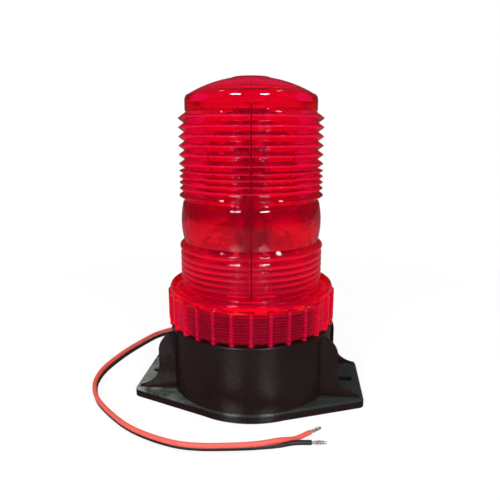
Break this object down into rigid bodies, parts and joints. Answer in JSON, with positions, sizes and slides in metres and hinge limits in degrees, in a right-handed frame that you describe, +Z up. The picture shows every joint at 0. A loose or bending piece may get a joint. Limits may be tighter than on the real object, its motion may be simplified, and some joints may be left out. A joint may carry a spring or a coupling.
{
  "type": "strobe warning light",
  "caption": "Round warning light: ribbed red lens held by a threaded ring collar on a black housing with a slotted foot, lamp tower inside and a two-core lead.",
  "frame": {"origin": "middle of the foot's underside, on the lens axis", "axes": "+Z up along the lens axis, X along the foot plate's long side through both slots, +Y towards the lead's bush"},
  "size_m": [0.1591, 0.1678, 0.1758],
  "materials": {
    "black_shell": "satin moulded",
    "black_cover": "matte moulded",
    "screw_steel": "zinc plated",
    "black_rubber": "matte",
    "inner_wire": "satin",
    "green_block": "satin",
    "board_green": "satin solder mask",
    "can_blue": "shrink sleeve",
    "ferrite": "matte",
    "copper_wire": "enamelled",
    "chip_black": "matte",
    "socket_white": "satin",
    "tower_white": "satin",
    "tower_aluminium": "extruded",
    "board_grey": "satin solder mask over aluminium",
    "lamp_yellow": "phosphor",
    "seal_rubber": "matte",
    "red_lens": "clear red, glossy",
    "red_collar": "clear red, glossy",
    "lead_red_pvc": "satin",
    "lead_black_pvc": "satin",
    "tinned_strands": "tinned copper"
  },
  "bodies": {
    "base": {"base_housing": "black_shell", "bottom_cover": "black_cover", "cover_screws": "screw_steel", "cable_grommet": "black_rubber", "inner_leads": "inner_wire", "terminal_block": "green_block", "terminal_screws": "screw_steel", "main_board": "board_green", "board_screws": "screw_steel", "capacitors": "can_blue", "choke_core": "ferrite", "choke_winding": "copper_wire", "driver_chips": "chip_black", "harness_socket": "socket_white", "tower_wires": "inner_wire", "tower_foot": "tower_white", "tower_screws": "screw_steel", "tower_core": "tower_aluminium", "led_boards": "board_grey", "leds": "lamp_yellow", "crown_board": "board_grey", "crown_leds": "lamp_yellow", "crown_screw": "screw_steel", "lens_gasket": "seal_rubber", "lead_red": "lead_red_pvc", "lead_black": "lead_black_pvc", "strands_red": "tinned_strands", "strands_black": "tinned_strands"},
    "lens": {"lens": "red_lens"},
    "collar": {"collar": "red_collar"}
  },
  "joints": [
    {"name": "lens_lift", "type": "slide", "parent": "base", "child": "lens", "axis": [0, 0, 1], "range_m": [0, 0.01125]},
    {"name": "collar_turn", "type": "hinge", "parent": "lens", "child": "collar", "pos_m": [0, 0, 0.052], "axis": [0, 0, 1], "range_deg": [0, 1620]}
  ],
  "couplings": [
    {"joint": "lens_lift", "follows": "collar_turn", "m_per_rad": 0.00039789}
  ]
}
